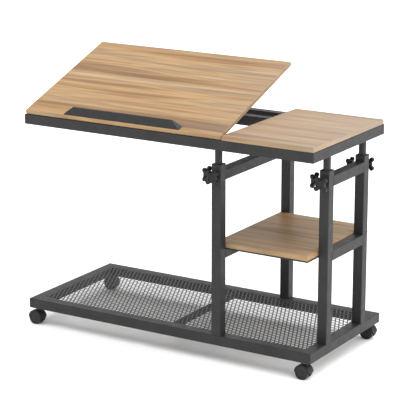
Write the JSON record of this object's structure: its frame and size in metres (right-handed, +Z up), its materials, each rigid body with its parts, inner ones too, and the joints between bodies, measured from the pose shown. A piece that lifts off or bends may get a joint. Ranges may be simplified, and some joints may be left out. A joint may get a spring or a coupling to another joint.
{
  "type": "overbed table",
  "caption": "Overbed table on swivel casters: C-shaped square-tube frame, mesh base, shelf, height-adjustable top with a fixed board and a tilting reading board with a book ledge.",
  "frame": {"origin": "on the floor, below the middle of the frame's footprint", "axes": "+X along the length towards the shelf end, +Y away from the user's side, +Z up"},
  "size_m": [0.9096, 0.449, 0.7527],
  "materials": {
    "steel": "charcoal powder coat, fine texture",
    "mesh": "black powder-coated expanded metal",
    "laminate": "satin wood-grain laminate on particle board",
    "knob": "moulded black plastic",
    "ledge": "moulded dark grey plastic",
    "plastic": "moulded black plastic",
    "wheel": "hard moulded wheel with a smooth tread",
    "zinc": "zinc-plated steel"
  },
  "bodies": {
    "stand_frame": {"base_front_rail": "steel", "base_rear_rail": "steel", "base_left_rail": "steel", "base_right_rail": "steel", "base_cross_tube": "steel", "mesh_deck": "mesh", "post_front_left": "steel", "post_rear_left": "steel", "post_front_right": "steel", "post_rear_right": "steel", "left_upper_rail": "steel", "right_upper_rail": "steel", "left_shelf_rail": "steel", "right_shelf_rail": "steel", "shelf_edge_bars": "steel", "shelf_bearer": "steel", "storage_shelf": "laminate", "shelf_screws": "zinc", "sleeve_bushes": "plastic", "clamp_nuts": "steel", "caster_stems": "zinc", "caster_nuts": "zinc"},
    "lifting_top": {"top_front_rail": "steel", "top_rear_rail": "steel", "top_left_rail": "steel", "top_right_rail": "steel", "top_middle_rail": "steel", "top_cross_tube": "steel", "lift_tube_front_left": "steel", "lift_tube_rear_left": "steel", "lift_tube_front_right": "steel", "lift_tube_rear_right": "steel", "fixed_board": "laminate", "board_screws": "zinc", "rack_left": "steel", "rack_right": "steel", "hinge_rail_leaves": "zinc", "hinge_pins": "zinc"},
    "reading_board": {"tilting_board": "laminate", "hinge_board_leaves": "zinc", "book_ledge": "ledge", "ledge_screws": "zinc", "stand_eyes": "steel"},
    "board_stand": {"support_stand": "steel"},
    "clamp_side_front_left": {"knob_side_front_left": "knob"},
    "clamp_face_front_left": {"knob_face_front_left": "knob"},
    "clamp_side_rear_left": {"knob_side_rear_left": "knob"},
    "clamp_face_rear_left": {"knob_face_rear_left": "knob"},
    "clamp_side_front_right": {"knob_side_front_right": "knob"},
    "clamp_face_front_right": {"knob_face_front_right": "knob"},
    "clamp_side_rear_right": {"knob_side_rear_right": "knob"},
    "clamp_face_rear_right": {"knob_face_rear_right": "knob"},
    "swivel_front_left": {"caster_hood_front_left": "plastic"},
    "wheels_front_left": {"caster_wheels_front_left": "wheel"},
    "swivel_rear_left": {"caster_hood_rear_left": "plastic"},
    "wheels_rear_left": {"caster_wheels_rear_left": "wheel"},
    "swivel_front_right": {"caster_hood_front_right": "plastic"},
    "wheels_front_right": {"caster_wheels_front_right": "wheel"},
    "swivel_rear_right": {"caster_hood_rear_right": "plastic"},
    "wheels_rear_right": {"caster_wheels_rear_right": "wheel"}
  },
  "joints": [
    {"name": "top_height", "type": "slide", "parent": "stand_frame", "child": "lifting_top", "axis": [0, 0, 1], "range_m": [-0.035, 0.2]},
    {"name": "board_tilt", "type": "hinge", "parent": "lifting_top", "child": "reading_board", "pos_m": [-0.1345, -0.194, 0.6113], "axis": [1, 0, 0], "range_deg": [-20, 20]},
    {"name": "stand_fold", "type": "hinge", "parent": "reading_board", "child": "board_stand", "pos_m": [-0.135, -0.06097, 0.64801], "axis": [1, 0, 0], "range_deg": [-40, 40]},
    {"name": "knob_side_front_left_turn", "type": "hinge", "parent": "stand_frame", "child": "clamp_side_front_left", "pos_m": [0.13, -0.186, 0.509], "axis": [-1, 0, 0], "range_deg": [0, 900]},
    {"name": "knob_face_front_left_turn", "type": "hinge", "parent": "stand_frame", "child": "clamp_face_front_left", "pos_m": [0.165, -0.221, 0.509], "axis": [0, -1, 0], "range_deg": [0, 900]},
    {"name": "knob_side_rear_left_turn", "type": "hinge", "parent": "stand_frame", "child": "clamp_side_rear_left", "pos_m": [0.13, 0.186, 0.509], "axis": [-1, 0, 0], "range_deg": [0, 900]},
    {"name": "knob_face_rear_left_turn", "type": "hinge", "parent": "stand_frame", "child": "clamp_face_rear_left", "pos_m": [0.165, 0.221, 0.509], "axis": [0, 1, 0], "range_deg": [0, 900]},
    {"name": "knob_side_front_right_turn", "type": "hinge", "parent": "stand_frame", "child": "clamp_side_front_right", "pos_m": [0.401, -0.1, 0.509], "axis": [-1, 0, 0], "range_deg": [0, 900]},
    {"name": "knob_face_front_right_turn", "type": "hinge", "parent": "stand_frame", "child": "clamp_face_front_right", "pos_m": [0.436, -0.135, 0.509], "axis": [0, -1, 0], "range_deg": [0, 900]},
    {"name": "knob_side_rear_right_turn", "type": "hinge", "parent": "stand_frame", "child": "clamp_side_rear_right", "pos_m": [0.401, 0.1, 0.509], "axis": [-1, 0, 0], "range_deg": [0, 900]},
    {"name": "knob_face_rear_right_turn", "type": "hinge", "parent": "stand_frame", "child": "clamp_face_rear_right", "pos_m": [0.436, 0.135, 0.509], "axis": [0, 1, 0], "range_deg": [0, 900]},
    {"name": "caster_front_left_swivel", "type": "hinge", "parent": "stand_frame", "child": "swivel_front_left", "pos_m": [-0.4285, -0.186, 0.04], "axis": [0, 0, 1], "continuous": true},
    {"name": "caster_front_left_roll", "type": "hinge", "parent": "swivel_front_left", "child": "wheels_front_left", "pos_m": [-0.4335, -0.186, 0.019], "axis": [0, 1, 0], "continuous": true},
    {"name": "caster_rear_left_swivel", "type": "hinge", "parent": "stand_frame", "child": "swivel_rear_left", "pos_m": [-0.4285, 0.186, 0.04], "axis": [0, 0, 1], "continuous": true},
    {"name": "caster_rear_left_roll", "type": "hinge", "parent": "swivel_rear_left", "child": "wheels_rear_left", "pos_m": [-0.4335, 0.186, 0.019], "axis": [0, 1, 0], "continuous": true},
    {"name": "caster_front_right_swivel", "type": "hinge", "parent": "stand_frame", "child": "swivel_front_right", "pos_m": [0.4285, -0.186, 0.04], "axis": [0, 0, 1], "continuous": true},
    {"name": "caster_front_right_roll", "type": "hinge", "parent": "swivel_front_right", "child": "wheels_front_right", "pos_m": [0.4235, -0.186, 0.019], "axis": [0, 1, 0], "continuous": true},
    {"name": "caster_rear_right_swivel", "type": "hinge", "parent": "stand_frame", "child": "swivel_rear_right", "pos_m": [0.4285, 0.186, 0.04], "axis": [0, 0, 1], "continuous": true},
    {"name": "caster_rear_right_roll", "type": "hinge", "parent": "swivel_rear_right", "child": "wheels_rear_right", "pos_m": [0.4235, 0.186, 0.019], "axis": [0, 1, 0], "continuous": true}
  ],
  "couplings": [
    {"joint": "stand_fold", "follows": "board_tilt", "ratio": -2}
  ]
}
